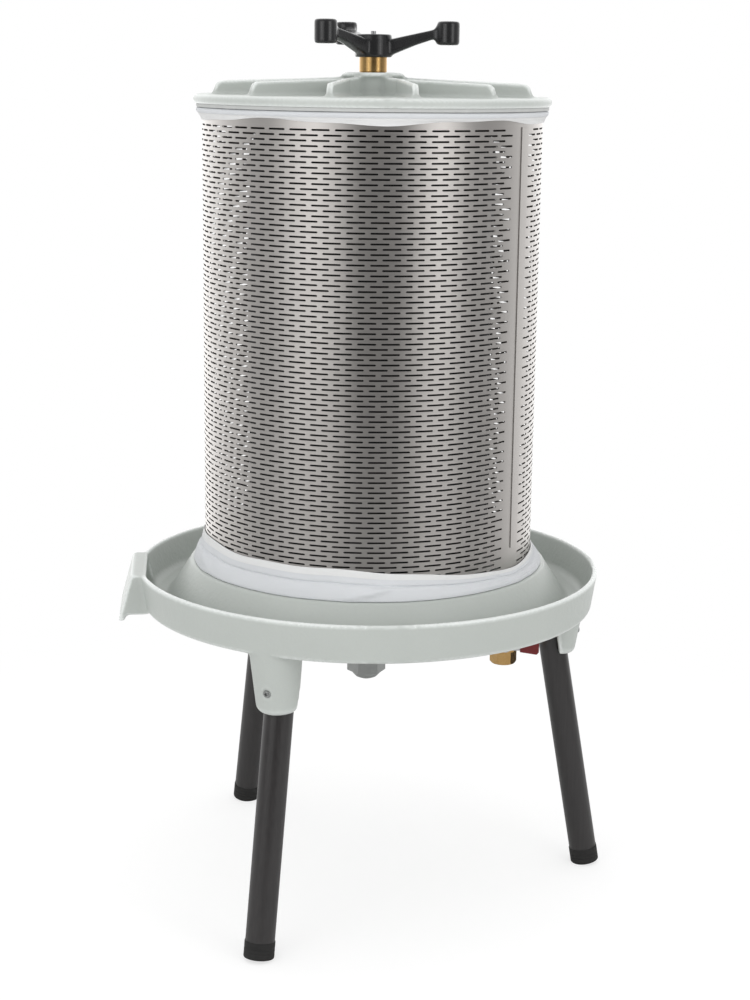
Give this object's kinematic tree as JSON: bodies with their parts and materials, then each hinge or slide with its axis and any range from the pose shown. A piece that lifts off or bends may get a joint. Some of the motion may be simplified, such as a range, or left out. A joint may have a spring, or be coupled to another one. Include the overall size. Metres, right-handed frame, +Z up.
{
  "type": "hydraulic fruit press",
  "caption": "Bladder fruit press: slotted steel basket on a cast pan with spout and splayed legs, ribbed lid held by a star nut, water inlet with ball valve under the pan.",
  "frame": {"origin": "on the press axis at floor level", "axes": "+Z up the press axis, +X towards the leg beside the water inlet, spout on -X"},
  "size_m": [0.6753, 0.6258, 1.1676],
  "materials": {
    "casting_paint": "cast aluminium under pale grey-green hammered paint, satin",
    "leg_paint": "dark grey-brown powder coat on steel tube, satin",
    "foot_rubber": "black moulded rubber, matt",
    "basket_steel": "slotted stainless sheet, brushed round",
    "bright_steel": "turned stainless steel",
    "zinc_steel": "zinc-plated steel, dull",
    "brass": "turned brass, semi-bright",
    "bladder_rubber": "black food-grade rubber, matt",
    "seal_rubber": "pale grey sealing rubber",
    "filter_cloth": "white woven filter cloth",
    "handle_plastic": "black moulded plastic, glossy",
    "lever_plastic": "dark red vinyl dip",
    "seat_plastic": "white seat plastic"
  },
  "bodies": {
    "stand": {"base_pan": "casting_paint", "right_leg": "leg_paint", "front_leg": "leg_paint", "rear_leg": "leg_paint", "right_foot": "foot_rubber", "front_foot": "foot_rubber", "rear_foot": "foot_rubber", "leg_screws": "zinc_steel", "leg_insert_nuts": "zinc_steel", "tie_rod": "bright_steel", "tie_rod_washer": "bright_steel", "tie_rod_nut": "zinc_steel", "rod_seal": "bladder_rubber", "core_tube": "bright_steel", "core_cap": "casting_paint", "core_nut": "zinc_steel", "bladder": "bladder_rubber", "lower_clamp": "bright_steel", "upper_clamp": "bright_steel", "inlet_pipe": "zinc_steel", "inlet_elbow": "brass", "valve_body": "brass", "valve_seats": "seat_plastic", "hose_end": "brass", "gland_nut": "brass"},
    "basket": {"press_basket": "basket_steel", "seam_lap": "basket_steel", "upper_cloth_cuff": "filter_cloth", "lower_cloth_cuff": "filter_cloth"},
    "lid": {"lid": "casting_paint", "lid_seal": "seal_rubber"},
    "nut_carrier": {"thrust_washer": "bright_steel"},
    "star_nut": {"star_handle": "handle_plastic", "thread_bush": "brass", "retaining_ring": "zinc_steel", "handle_screw": "zinc_steel"},
    "valve_lever": {"valve_ball": "bright_steel", "valve_stem": "brass", "lever_strip": "bright_steel", "lever_sleeve": "lever_plastic", "lever_nut": "zinc_steel"}
  },
  "joints": [
    {"name": "basket_lift", "type": "slide", "parent": "stand", "child": "basket", "axis": [0, 0, 1], "range_m": [0, 0.7]},
    {"name": "lid_lift", "type": "slide", "parent": "basket", "child": "lid", "axis": [0, 0, 1], "range_m": [0, 0.16]},
    {"name": "nut_rise", "type": "slide", "parent": "lid", "child": "nut_carrier", "axis": [0, 0, 1], "range_m": [0, 0.0351]},
    {"name": "nut_turn", "type": "hinge", "parent": "nut_carrier", "child": "star_nut", "pos_m": [0, 0, 1.1026], "axis": [0, 0, 1], "range_deg": [0, 2520]},
    {"name": "valve_turn", "type": "hinge", "parent": "stand", "child": "valve_lever", "pos_m": [0.18864, -0.01783, 0.341], "axis": [0.0941, 0.9956, 0], "range_deg": [0, 90]}
  ],
  "couplings": [
    {"joint": "nut_rise", "follows": "nut_turn", "m_per_rad": 0.0007958}
  ]
}
